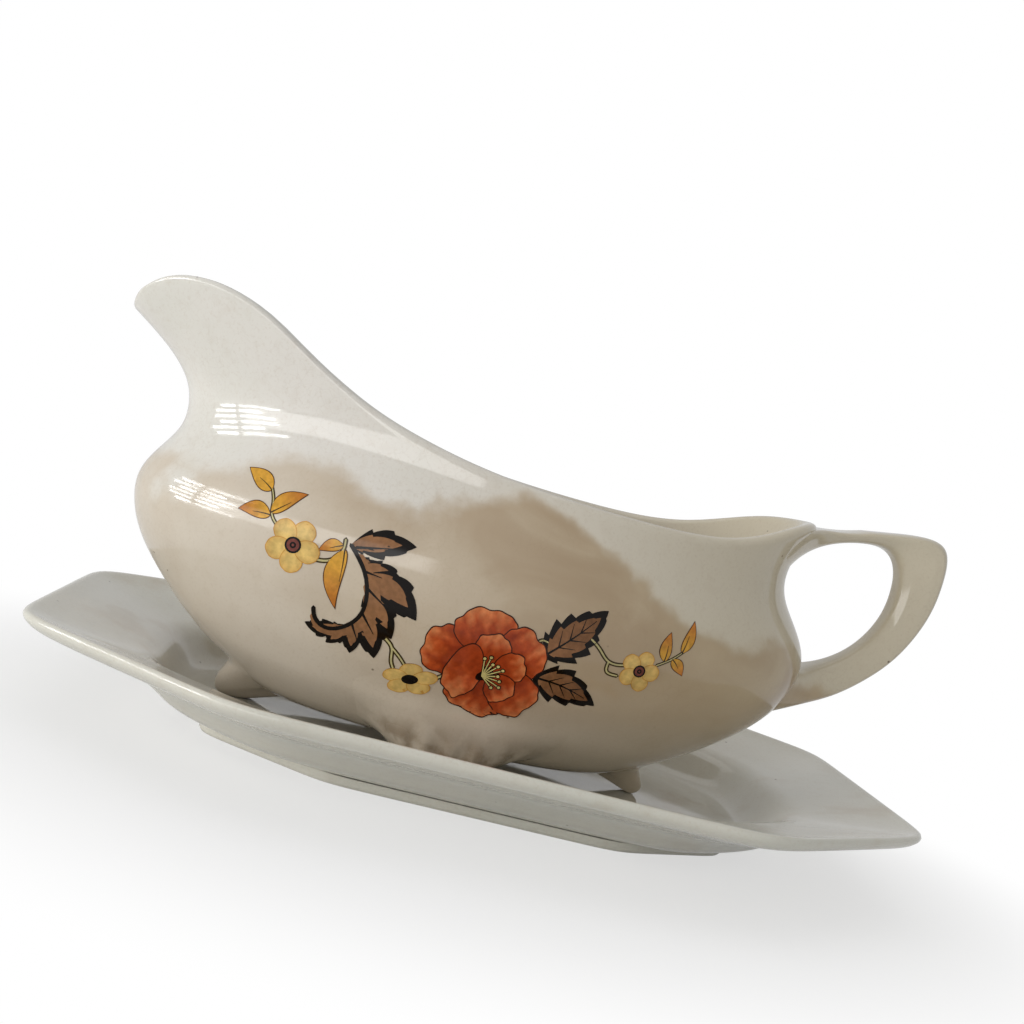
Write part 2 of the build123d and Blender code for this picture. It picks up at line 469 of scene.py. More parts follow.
def buildShell():
    angle = np.linspace(0, 2 * math.pi, hull["around"], endpoint=False)
    wall, base = hull["wall"], stationTable[0, 0]
    lip = wall / 2
    top = rimHeight(angle) - lip * 0.8
    rows = []
    for share in (0.15, 0.4, 0.65, 0.85, 0.95):       # underside
        row = hullPoint(angle, np.full_like(angle, base))
        row[:, :2] *= share
        row[:, 2] += 0.5 * (1 - share ** 2)
        rows.append(row)
    for share in np.linspace(0, 1, hull["upRows"]):    # outside
        rows.append(hullPoint(angle, base + (top - base) * share))
    outside, inside = rows[-1], hullPoint(angle, top, wall)
    middle, reach = (outside + inside) / 2, (outside - inside) / 2
    upward = outside - hullPoint(angle, top - 2.0)
    upward = upward / np.linalg.norm(upward, axis=1, keepdims=True) * lip
    upward[:, :2] *= 0.6
    for turn in np.linspace(0, math.pi, hull["rimRows"] + 2)[1:-1]:    # round lip
        rows.append(middle + reach * math.cos(turn) + upward * math.sin(turn))
    floor, curve = hull["floorTop"], hull["floorRound"]
    for share in np.linspace(0, 1, hull["downRows"]):    # inside
        rows.append(hullPoint(angle, top + (floor + curve - top) * share, wall))
    corner = rows[-1].copy()
    for turn in np.linspace(0, math.pi / 2, hull["cornerRows"])[1:]:    # rounded into the floor
        row = corner.copy()
        row[:, :2] *= 1 - hull["floorShrink"] * (1 - math.cos(turn))
        row[:, 2] = floor + curve * (1 - math.sin(turn))
        rows.append(row)
    for share in (0.8, 0.5, 0.2):
        row = rows[-1].copy()
        row[:, :2] = corner[:, :2] * (1 - hull["floorShrink"]) * share
        rows.append(row)
    points, faces = closedTube(rows)
    return newPiece("boatShell", onBoat(points), faces, boatGlazeMaterial)


shell = buildShell()
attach(shell, "boat")
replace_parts(shell, "boat_shell")
print("shell built")


# handle
loop = {
    # outer edge x and z, inner edge x and z, half width, from the rim round to the belly
    "stations": [
        (79.2, 79.3, 75.1, 66.0, 19.5), (82.0, 80.1, 77.6, 71.0, 11.8), (87.0, 80.9, 83.6, 75.6, 7.6),
        (95.0, 82.5, 92.0, 78.5, 5.8), (103.0, 84.0, 99.0, 79.4, 5.2), (110.0, 85.1, 103.2, 78.5, 5.3),
        (115.6, 84.6, 105.6, 76.2, 5.4), (118.4, 81.2, 106.9, 73.0, 5.4), (119.0, 74.5, 107.4, 69.0, 5.4),
        (117.8, 65.0, 106.8, 62.8, 5.3), (113.4, 54.4, 103.7, 55.6, 5.3), (107.0, 46.0, 98.3, 49.4, 5.4),
        (98.4, 38.7, 91.9, 45.3, 6.2), (90.0, 34.2, 87.0, 43.6, 8.8), (81.0, 30.2, 84.8, 43.9, 16.0),
    ],
    "along": 150, "around": 56, "squareness": 3.4, "thinning": 0.24, "ridge": 0.07, "ridgeAt": 0.72,
    "ridgeWidth": 0.12, "closing": (0.05, 0.35, 0.7), "sunk": 0.8, "underLip": 0.9,
}


def buildHandle():
    table = np.array(loop["stations"])
    steps = np.arange(len(table))
    curves = [spline(steps, table[:, k]) for k in range(5)]
    turn = np.linspace(0, 2 * math.pi, loop["around"], endpoint=False)
    power = 2 / loop["squareness"]
    across = np.sign(np.cos(turn)) * np.abs(np.cos(turn)) ** power
    sideways = np.sign(np.sin(turn)) * np.abs(np.sin(turn)) ** power
    # the flat sides thin towards the hole and carry a soft ridge near the outer edge
    thinned = smoothStep(loop["ridgeAt"], -1.0, across) * loop["thinning"]
    raised = np.exp(-((across - loop["ridgeAt"]) / loop["ridgeWidth"]) ** 2) * loop["ridge"]
    closing = loop["closing"]
    stops = [(0.0, share) for share in closing] + [(t, 1.0) for t in np.linspace(0, steps[-1], loop["along"])]
    stops += [(steps[-1], share) for share in reversed(closing)]
    rows = []
    for t, share in stops:
        outX, outZ, inX, inZ, half = (curve(t) for curve in curves)
        atRim, atBelly = 1 - smoothStep(0.0, 3.0, t), smoothStep(steps[-1] - 2.5, steps[-1], t)
        joining = max(atRim, atBelly)
        shaped = smoothStep(1.5, 5.0, t) * smoothStep(steps[-1], steps[-1] - 3.5, t)
        row = np.zeros((len(turn), 3))
        row[:, 0] = (outX + inX) / 2 + (outX - inX) / 2 * across * share - (1 - share) * loop["sunk"]
        row[:, 2] = (outZ + inZ) / 2 + (outZ - inZ) / 2 * across * share
        row[:, 1] = half * sideways * (1 + (raised - thinned) * shaped) * share
        # both ends wrap round the hull and the upper one stays under the lip
        row[:, 0] -= joining * endDrop(row[:, 1], row[:, 2])
        over = np.clip(row[:, 2] - rimLine(row[:, 0]) + loop["underLip"], 0, None)
        row[:, 2] -= over * atRim ** 0.5
        rows.append(row)
    points, faces = closedTube(rows)
    return newPiece("loopHandle", onBoat(points), faces, boatGlazeMaterial)


handle = buildHandle()
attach(handle, "boat")
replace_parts(handle, "handle")


# feet
feet = {
    # path down the hull and in under it: height, share of the base outline once it turns under
    "hullPath": [
        (23.0, 1.0), (18.5, 1.0), (14.5, 1.0), (11.2, 1.0), (8.5, 1.0), (6.5, 1.0), (5.0, 1.0), (5.0, 0.93),
        (5.0, 0.84), (5.0, 0.74), (5.0, 0.62)
    ],
    "sideSection": [
        (38.0, 23.0), (36.2, 18.5), (35.5, 14.0), (35.3, 9.8), (34.9, 6.0), (33.9, 2.8), (32.2, 0.5),
        (30.2, 0.0), (27.6, 0.5), (24.0, 2.6), (18.0, 4.9)
    ],
    "spoutSection": [
        (73.0, 23.0), (68.0, 18.5), (61.2, 13.2), (55.4, 9.9), (55.2, 7.0), (56.4, 4.0), (56.0, 1.2),
        (53.4, 0.0), (48.0, 0.2), (41.5, 2.4), (31.0, 4.9)
    ],
    "handleSection": [
        (74.8, 23.0), (69.2, 18.5), (61.2, 13.0), (54.0, 9.2), (53.2, 6.8), (54.8, 3.6), (55.0, 1.3),
        (53.2, 0.0), (50.8, 0.6), (45.0, 3.4), (33.0, 4.9)
    ],
    "across": 72, "down": 60, "tuck": 0.25, "ribs": 9, "ribHeight": 0.40, "thickness": 1.6,
}


def buildFoot(name, direction, section, spread, ribbed):
    # the hull's own surface, pulled down and out into a lobe that fades out at its edges
    steps = np.arange(len(section))
    sectionTable, pathTable = np.array(section), np.array(feet["hullPath"])
    out, drop = spline(steps, sectionTable[:, 0]), spline(steps, sectionTable[:, 1])
    level, share = spline(steps, pathTable[:, 0]), spline(steps, pathTable[:, 1])
    v = np.linspace(0, steps[-1], feet["down"])
    u = np.linspace(-1, 1, feet["across"])
    fan = np.interp(v, [0, 4, 7, 10], [1.0, 0.95, 0.72, 0.62])    # narrower at the sole
    middle = math.atan2(direction[1], direction[0])
    outward = np.array([direction[0], direction[1], 0.0])

    def hullPath(angle, inset):
        row = hullPoint(angle, np.clip(level(v), 5.0, None), inset)
        row[:, :2] *= share(v)[:, None]
        return row

    centre = hullPath(np.full_like(v, middle), 0.0)
    centreOut = centre @ outward
    front, back = [], []
    for side in u:
        angle = middle + side * spread * fan
        weight = 1 - smoothStep(0.20, 0.92, abs(side))
        row = hullPath(angle, 0.0)
        pull = weight * smoothStep(0, 2.0, v) * smoothStep(0, 1.0, steps[-1] - v)
        row += outward * ((out(v) - centreOut) * pull)[:, None]
        row[:, 2] += (drop(v) - centre[:, 2]) * pull
        if ribbed:
            wave = np.cos(side * math.pi * feet["ribs"]) * feet["ribHeight"] * smoothStep(0.15, 0.5, weight)
            row += outward * (wave * smoothStep(2.2, 4.0, v) * smoothStep(7.2, 6.0, v))[:, None]
        tuck = feet["tuck"] * (1 - smoothStep(0.0, 0.12, pull))
        row -= outward * tuck[:, None] * 0.6
        row[:, 2] += np.where(v > 6, tuck, 0)
        front.append(row)
        inner = hullPath(angle, feet["thickness"])
        inner[:, 2] += np.where(v > 5, feet["thickness"], 0)
        back.append(inner)
    rows, columns = len(u), len(v)
    points = np.concatenate([np.concatenate(front), np.concatenate(back)])
    faces, offset = [], rows * columns
    for r in range(rows - 1):
        for c in range(columns - 1):
            quad = (r * columns + c, r * columns + c + 1, (r + 1) * columns + c + 1, (r + 1) * columns + c)
            faces += [quad, tuple(offset + k for k in reversed(quad))]
    edge = list(range(columns)) + [r * columns + columns - 1 for r in range(1, rows)]
    edge += [(rows - 1) * columns + c for c in range(columns - 2, -1, -1)]
    edge += [r * columns for r in range(rows - 2, 0, -1)]
    for here, after in zip(edge, edge[1:] + edge[:1]):
        faces.append((after, here, offset + here, offset + after))
    foot = newPiece(name, onBoat(points), faces, boatGlazeMaterial)
    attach(foot, "boat")
    return foot


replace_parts(buildFoot("spoutFoot", (-1, 0), feet["spoutSection"], 0.55, False), "spout_foot")
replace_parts(buildFoot("handleFoot", (1, 0), feet["handleSection"], 0.45, False), "handle_foot")
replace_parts(buildFoot("frontSideFoot", (0, -1), feet["sideSection"], 0.50, True), "front_side_foot")
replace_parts(buildFoot("backSideFoot", (0, 1), feet["sideSection"], 0.50, True), "back_side_foot")
print("handle and feet built")


# dish and foot ring, by Geometry Nodes
ware = {
    # distance in from the edge, share of the outline once it turns into the floor, height; all millimetres
    "dishProfile": [
        (36.5, 0.0, 6.0), (36.5, 0.5, 6.0), (36.5, 1.0, 6.0), (34.0, 1.0, 6.5), (31.5, 1.0, 8.2),
        (29.3, 1.0, 11.2), (27.3, 1.0, 14.0), (24.5, 1.0, 15.6), (20.0, 1.0, 16.6), (12.0, 1.0, 18.6),
        (6.0, 1.0, 20.1), (3.0, 1.0, 21.1), (1.4, 1.0, 21.7), (0.4, 1.0, 21.6), (0.0, 1.0, 20.9),
        (0.3, 1.0, 19.9), (2.0, 1.0, 18.3), (6.0, 1.0, 16.8), (14.0, 1.0, 14.2), (22.0, 1.0, 11.8),
        (27.0, 1.0, 8.6), (31.0, 1.0, 5.0), (36.0, 1.0, 2.8), (40.0, 1.0, 2.5), (41.0, 0.5, 2.5),
        (41.0, 0.0, 2.5),
    ],
    "ringProfile": [
        (0.0, 1.0, 2.5), (0.0, 1.0, 0.8), (0.5, 1.0, 0.15), (1.4, 1.0, 0.0), (2.6, 1.0, 0.0),
        (3.5, 1.0, 0.15), (4.0, 1.0, 0.8), (4.0, 1.0, 2.5)
    ],
    "around": 320, "across": 150, "ringAcross": 36,
    "cornerAlong": 0.53, "cornerAcross": 0.52, "edgeSharpness": 34.0, "sharpnessLoss": 0.55,
}


def profileCurve(name, points, smooth):
    data = bpy.data.curves.new(name, "CURVE")
    data.dimensions = "3D"
    kind = "NURBS" if smooth else "POLY"
    line = data.splines.new(kind)
    line.points.add(len(points) - 1)
    for point, place in zip(line.points, points):
        point.co = (*place, 1.0)
    if smooth:
        line.order_u = 3
        line.use_endpoint_u = True
        line.resolution_u = 12
    curve = bpy.data.objects.new(name, data)
    bpy.context.collection.objects.link(curve)
    return curve


def octagonTree():
    # a profile carried round a soft-cornered octagon: every point keeps its distance in from the edge
    tree = bpy.data.node_groups.new("octagonWare", "GeometryNodeTree")
    tree.interface.new_socket("Geometry", in_out="OUTPUT", socket_type="NodeSocketGeometry")
    for name, kind, value in (
        ("Profile", "NodeSocketObject", None), ("Half Length", "NodeSocketFloat", 107.0),
        ("Half Width", "NodeSocketFloat", 72.0), ("Corner Along", "NodeSocketFloat", 0.53),
        ("Corner Across", "NodeSocketFloat", 0.52), ("Sharpness", "NodeSocketFloat", 34.0),
        ("Sharpness Loss", "NodeSocketFloat", 0.5), ("Around", "NodeSocketInt", 320),
        ("Across", "NodeSocketInt", 150), ("Glaze", "NodeSocketMaterial", None),
    ):
        socket = tree.interface.new_socket(name, in_out="INPUT", socket_type=kind)
        if value is not None:
            socket.default_value = value
    given = {socket.name: socket for socket in tree.nodes.new("NodeGroupInput").outputs if socket.name}
    grid = addNode(
        tree, "GeometryNodeMeshGrid",
        {"Size X": 1.0, "Size Y": 1.0, "Vertices X": given["Around"], "Vertices Y": given["Across"]}
    )
    where = addNode(
        tree, "ShaderNodeSeparateXYZ", {0: tree.nodes.new("GeometryNodeInputPosition").outputs[0]}
    ).outputs
    turn = times(tree, plus(tree, where[0], 0.5), 2 * math.pi)
    along = plus(tree, where[1], 0.5)
    info = addNode(tree, "GeometryNodeObjectInfo", {"Object": given["Profile"]})
    sample = addNode(
        tree, "GeometryNodeSampleCurve", {"Curves": info.outputs["Geometry"], "Factor": along},
        mode="FACTOR", use_all_curves=True
    )
    inset, share, height = addNode(tree, "ShaderNodeSeparateXYZ", {0: sample.outputs["Position"]}).outputs
    c, s = maths(tree, "COSINE", turn), maths(tree, "SINE", turn)
    absC, absS = maths(tree, "ABSOLUTE", c), maths(tree, "ABSOLUTE", s)
    length, width = given["Half Length"], given["Half Width"]
    # the cut corner runs from (half length, cutAcross) to (cutAlong, half width)
    cutAlong = times(tree, length, given["Corner Along"])
    cutAcross = times(tree, width, given["Corner Across"])
    rise, run = minus(tree, width, cutAcross), minus(tree, length, cutAlong)
    size = maths(tree, "SQRT", plus(tree, times(tree, rise, rise), times(tree, run, run)))
    normalX, normalY = maths(tree, "DIVIDE", rise, size), maths(tree, "DIVIDE", run, size)
    cutAway = plus(tree, times(tree, normalX, length), times(tree, normalY, cutAcross))
    towards = plus(tree, times(tree, normalX, absC), times(tree, normalY, absS))
    power = minus(tree, given["Sharpness"], times(tree, inset, given["Sharpness Loss"]))
    total = None
    for reach, distance in ((absC, length), (absS, width), (towards, cutAway)):
        ratio = maths(tree, "DIVIDE", times(tree, reach, length), minus(tree, distance, inset))
        term = maths(tree, "POWER", ratio, power)
        total = term if total is None else plus(tree, total, term)
    radius = maths(
        tree, "DIVIDE", times(tree, share, length),
        maths(tree, "POWER", total, maths(tree, "DIVIDE", 1.0, power))
    )
    radius = times(tree, radius, mm)
    place = addNode(
        tree, "ShaderNodeCombineXYZ",
        {0: times(tree, radius, c), 1: times(tree, radius, s), 2: times(tree, height, mm)}
    )
    moved = addNode(
        tree, "GeometryNodeSetPosition", {"Geometry": grid.outputs["Mesh"], "Position": place.outputs[0]}
    )
    joined = addNode(
        tree, "GeometryNodeMergeByDistance", {"Geometry": moved.outputs[0], "Distance": 0.000005}
    )
    real = addNode(tree, "GeometryNodeRealizeInstances", {"Geometry": joined.outputs[0]})
    coated = addNode(
        tree, "GeometryNodeSetMaterial", {"Geometry": real.outputs[0], "Material": given["Glaze"]}
    )
    out = tree.nodes.new("NodeGroupOutput")
    tree.links.new(coated.outputs[0], out.inputs["Geometry"])
    return tree


def bakeNodes(name, tree, values, body):
    # runs a node tree on an empty object and keeps the plain mesh
    piece = bpy.data.objects.new(name, bpy.data.meshes.new(name))
    bpy.context.collection.objects.link(piece)
    modifier = piece.modifiers.new("shape", "NODES")
    modifier.node_group = tree
    for item in tree.interface.items_tree:
        if item.in_out == "INPUT" and item.name in values:
            modifier[item.identifier] = values[item.name]
    evaluated = piece.evaluated_get(bpy.context.evaluated_depsgraph_get())
    mesh = bpy.data.meshes.new_from_object(evaluated)
    piece.modifiers.remove(modifier)
    piece.data = mesh
    faceOutward(mesh)
    mesh.shade_smooth()
    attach(piece, body)
    return piece


octagonWare = octagonTree()
halfDish, halfRing = dishBox[1] / mm, ringBox[1] / mm
dishValues = {
    "Profile": profileCurve("dishProfile", ware["dishProfile"], True), "Half Length": float(halfDish[0]),
    "Half Width": float(halfDish[1]), "Corner Along": ware["cornerAlong"],
    "Corner Across": ware["cornerAcross"], "Sharpness": ware["edgeSharpness"],
    "Sharpness Loss": ware["sharpnessLoss"], "Around": ware["around"], "Across": ware["across"],
    "Glaze": dishGlazeMaterial,
}
dish = bakeNodes("octagonDish", octagonWare, dishValues, "stand")
ringValues = dict(dishValues, **{
    "Profile": profileCurve("ringProfile", ware["ringProfile"], False), "Half Length": float(halfRing[0]),
    "Half Width": float(halfRing[1]), "Across": ware["ringAcross"], "Sharpness Loss": 0.0,
})
ring = bakeNodes("footRing", octagonWare, ringValues, "stand")
for curve in [o for o in bpy.data.objects if o.name.endswith("Profile")]:
    bpy.data.objects.remove(curve)
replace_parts(dish, "stand_dish")
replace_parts(ring, "stand_foot_ring")
print("dish built", len(dish.data.polygons))


# printed sprays
ink = {
    "black": srgb(14, 8, 5), "line": srgb(56, 24, 12), "goldLine": srgb(84, 52, 24),
    "brown": srgb(140, 99, 66), "brownDark": srgb(106, 71, 44), "petal": srgb(186, 82, 38),
    "petalDeep": srgb(136, 46, 16), "petalPale": srgb(216, 136, 84), "yellow": srgb(212, 180, 108),
    "yellowDeep": srgb(192, 142, 70), "gold": srgb(202, 150, 56), "amber": srgb(180, 100, 44),
    "stem": srgb(190, 180, 128), "stemLine": srgb(62, 50, 26), "maroon": srgb(112, 60, 52),
    "pollen": srgb(196, 184, 120), "lift": 0.05, "layerStep": 0.018, "depth": 0.10, "fillStep": 0.95,
    # how far the boat's drawing moves on its far side, and the rim drawings' distance in from the edge
    "farSideShift": 4.0, "rimInset": 13.6,
    # the millimetres that each surface is sampled over, about the drawing's own middle
    "flankLow": (-64, 13), "flankHigh": (60, 62), "rimReach": 46, "rimInward": 13, "rimOutward": 11.5,
}


def colour(name):
    return np.array(ink[name][:3])


def flat(name):
    return lambda points: np.tile(colour(name), (len(points), 1))


def blend(first, second, share):
    share = np.clip(share, 0, 1)[:, None]
    return colour(first) * (1 - share) + colour(second) * share


def smoothPath(points, count):
    points = np.asarray(points, float)
    run = np.concatenate([[0], np.cumsum(np.linalg.norm(np.diff(points, axis=0), axis=1))])
    if len(points) == 2:
        return points[0] + (points[1] - points[0]) * np.linspace(0, 1, count)[:, None]
    t = np.linspace(0, run[-1], count)
    return np.stack([spline(run, points[:, 0])(t), spline(run, points[:, 1])(t)], axis=1)


def stroke(points, startWidth, endWidth, count=26):
    # a pen stroke that swells or tapers along its path
    path = smoothPath(points, count)
    along = np.gradient(path, axis=0)
    along /= np.linalg.norm(along, axis=1, keepdims=True) + 1e-9
    side = np.stack([-along[:, 1], along[:, 0]], axis=1)
    half = (np.linspace(startWidth, endWidth, count) / 2)[:, None]
    cap = along[-1] * half[-1]
    return np.concatenate([
        path + side * half, [path[-1] + cap], (path - side * half)[::-1], [path[0] - along[0] * half[0]]
    ])


def leafOutline(base, tip, width, sag, teeth=0, depth=0.0, start=0.0, end=1.0, lean=0.72):
    # a leaf blade about a bowed midrib; teeth point to the tip
    base, tip = np.asarray(base, float), np.asarray(tip, float)
    along = tip - base
    across = np.array([-along[1], along[0]])
    unit = across / np.linalg.norm(across)
    t = np.linspace(start, end, 64)
    spine = base + along * t[:, None] + across * (sag * 4 * t * (1 - t))[:, None]
    share = (t - start) / (end - start)
    half = width * np.sin(math.pi * share ** lean) ** 0.9
    left = half * (1 + depth * ((t * teeth) % 1 - 0.5)) if teeth else half
    right = half * (1 + depth * ((t * teeth + 0.45) % 1 - 0.5)) if teeth else half
    return np.concatenate([spine + unit * left[:, None], (spine - unit * right[:, None])[::-1]])


def blob(centre, halfLength, halfWidth, direction, wobble=0.0, seed=0, narrow=0.0, count=56):
    # a rounded petal, its base narrower than its outer edge
    rng = np.random.default_rng(seed)
    a = np.linspace(0, 2 * math.pi, count, endpoint=False)
    phase = rng.uniform(0, 2 * math.pi, 3)
    outer = 0.5 + 0.5 * np.cos(a)
    ripple = np.cos(5 * a + phase[0]) + 0.8 * np.cos(8 * a + phase[1]) + 0.5 * np.cos(13 * a + phase[2])
    radius = 1 + wobble * outer * ripple
    u, v = halfLength * radius * np.cos(a), halfWidth * radius * np.sin(a)
    v = v * (1 + narrow * np.cos(a))
    c, s = math.cos(math.radians(direction)), math.sin(math.radians(direction))
    return np.stack([centre[0] + u * c - v * s, centre[1] + u * s + v * c], axis=1)


def drawGoldLeaf(sheet, base, tip, width, sag=0.06, tone="amber"):
    base, tip = np.asarray(base, float), np.asarray(tip, float)
    along = (tip - base) / np.linalg.norm(tip - base) ** 2
    sheet.append((leafOutline(base, tip, width + 0.22, sag, start=-0.02, end=1.04), 1, flat("goldLine")))
    sheet.append((
        leafOutline(base, tip, width, sag), 2,
        lambda p: blend("gold", tone, ((p - base) @ along - 0.25) * 1.2)
    ))
    middle = base + (tip - base) * 0.55
    sheet.append((
        stroke([base, (base + middle) / 2 + np.array([0.1, 0.1]), middle], 0.32, 0.10, 10), 3,
        flat("stemLine")
    ))


def drawInkLeaf(sheet, base, tip, width, sag=0.05, teeth=5, veins=3):
    # brown blade inside a heavy toothed black edge
    base, tip = np.asarray(base, float), np.asarray(tip, float)
    along = tip - base
    across = np.array([-along[1], along[0]])
    sheet.append((leafOutline(base, tip, width, sag, teeth, 0.34), 1, flat("black")))
    sheet.append((
        leafOutline(base, tip, width * 0.68, sag, teeth, 0.30, 0.07, 0.87), 2,
        lambda p: blend("brown", "brownDark", (p - base) @ along / (along @ along))
    ))
    rib = [base + along * t + across * sag * 4 * t * (1 - t) for t in (0, 0.4, 0.8)]
    sheet.append((stroke(rib, 0.55, 0.16, 16), 3, flat("black")))
    for k in range(veins):
        t = 0.22 + 0.50 * k / max(veins, 1)
        root = base + along * t + across * sag * 4 * t * (1 - t)
        reach = width / np.linalg.norm(along) * 0.55 * math.sin(math.pi * (t + 0.12) ** 0.72)
        for side in (-1, 1):
            end = root + along * 0.16 + across * side * reach
            sheet.append((stroke([root, end], 0.34, 0.08, 6), 3, flat("black")))


def drawFlower(sheet, centre, radius, turn, core="maroon", squash=1.0, lean=0.0):
    # five round petals about a dark eye
    centre = np.asarray(centre, float)
    c, s = math.cos(math.radians(lean)), math.sin(math.radians(lean))

    def place(points):    # flattened when the flower is seen from the side
        local = points - centre
        u, v = local[:, 0] * c + local[:, 1] * s, (-local[:, 0] * s + local[:, 1] * c) * squash
        return centre + np.stack([u * c - v * s, u * s + v * c], axis=1)

    for k in range(5):
        direction = turn + 72 * k
        away = np.array([math.cos(math.radians(direction)), math.sin(math.radians(direction))])
        middle = centre + away * radius * 0.56
        sheet.append((
            place(blob(middle, radius * 0.485, radius * 0.43, direction, 0.012, k, 0.10, 34)), 2 + k * 0.5,
            flat("yellowDeep")
        ))
        fill = place(blob(middle, radius * 0.45, radius * 0.395, direction, 0.012, k, 0.10, 34))
        sheet.append((
            fill, 2.25 + k * 0.5, lambda p,
            m=place(middle[None])[0]: blend(
                "yellow", "yellowDeep", np.linalg.norm(p - m, axis=1) / radius * 1.6 - 0.25
            )
        ))
    for share, tone, layer in ((0.31, "black", 5), (0.235, core, 5.5), (0.12, "black", 6), (0.05, core, 6.5)):
        sheet.append((place(blob(centre, radius * share, radius * share, 0, count=18)), layer, flat(tone)))


def drawStem(sheet, points, width=0.75):
    count = 8 + 6 * len(points)
    sheet.append((stroke(points, width + 0.46, width + 0.38, count), 0, flat("stemLine")))
    sheet.append((stroke(points, width * 0.62, width * 0.5, count), 1, flat("stem")))


def drawPoppy(sheet, centre, size, petals):
    # layered scalloped petals round a dark heart with a fan of stamens
    centre = np.asarray(centre, float)
    for k, (x, z, halfLength, halfWidth, direction, depth) in enumerate(petals):
        middle = centre + np.array([x, z]) * size
        away = np.array([math.cos(math.radians(direction)), math.sin(math.radians(direction))])
        root = middle - away * halfLength * size * 0.95
        sheet.append((
            blob(
                middle, (halfLength + 0.26) * size, (halfWidth + 0.26) * size, direction, 0.045, 20 + k,
                0.16, 90
            ),
            3 + k, flat("line")
        ))

        def shade(p, root=root, away=away, reach=halfLength * size * 2, depth=depth, k=k):
            local = p - root
            along = local @ away / reach
            side = (local @ np.array([-away[1], away[0]])) / reach
            streak = 0.09 * np.sin(side * 19 + k * 1.7) + 0.06 * np.sin(side * 31 + along * 4 + k)
            streak += 0.10 * np.sin(p[:, 0] * 2.1 + k) * np.sin(p[:, 1] * 1.7 + 2 * k)
            tone = np.clip(along + streak - 0.36, 0, 1)
            deep = blend("petalDeep", "petal", np.clip(tone * 2.0 + depth * 0.8, 0, 1))
            pale = np.clip((tone - 0.40) * 2.2 + depth * 0.9, 0, 0.9)[:, None]
            return deep * (1 - pale) + colour("petalPale") * pale

        sheet.append((
            blob(middle, halfLength * size, halfWidth * size, direction, 0.045, 20 + k, 0.16, 90), 3.5 + k,
            shade
        ))
    layer = 4 + len(petals)
    heart = centre + np.array([0.6, -0.6]) * size
    sheet.append((blob(heart, 1.5 * size, 1.0 * size, 40, 0.03, 3, count=24), layer, flat("black")))
    for k in range(9):    # stamens
        spread = math.radians(-38 + 17 * k)
        reach = (3.5 + 0.6 * ((k * 5) % 3)) * size
        tip = heart + reach * np.array([math.cos(spread), math.sin(spread)])
        sheet.append((stroke([heart, tip], 0.62 * size, 0.56 * size, 6), layer + 0.5, flat("black")))
        sheet.append((stroke([heart, tip], 0.26 * size, 0.26 * size, 6), layer + 1, flat("pollen")))
        sheet.append((blob(tip, 0.56 * size, 0.50 * size, 0, count=14), layer + 1.5, flat("black")))
        sheet.append((blob(tip, 0.36 * size, 0.32 * size, 0, count=12), layer + 2, flat("pollen")))


poppyPetals = [
    # middle x and z, half length, half width, direction outward, paleness
    (-8.2, 3.0, 5.6, 5.6, 168, 0.10), (-1.6, 9.2, 5.2, 6.6, 102, 0.32), (7.0, 5.9, 5.8, 6.0, 42, 0.05),
    (0.8, -5.4, 4.5, 7.0, 262, 0.16), (8.3, -3.0, 5.4, 5.4, 318, 0.22), (1.2, 5.4, 3.9, 3.9, 88, 0.34),
    (5.9, 2.6, 3.6, 3.4, 22, 0.30), (5.0, -2.4, 3.3, 3.4, 316, 0.30), (-3.6, -0.4, 6.4, 3.9, 262, 0.36),
]


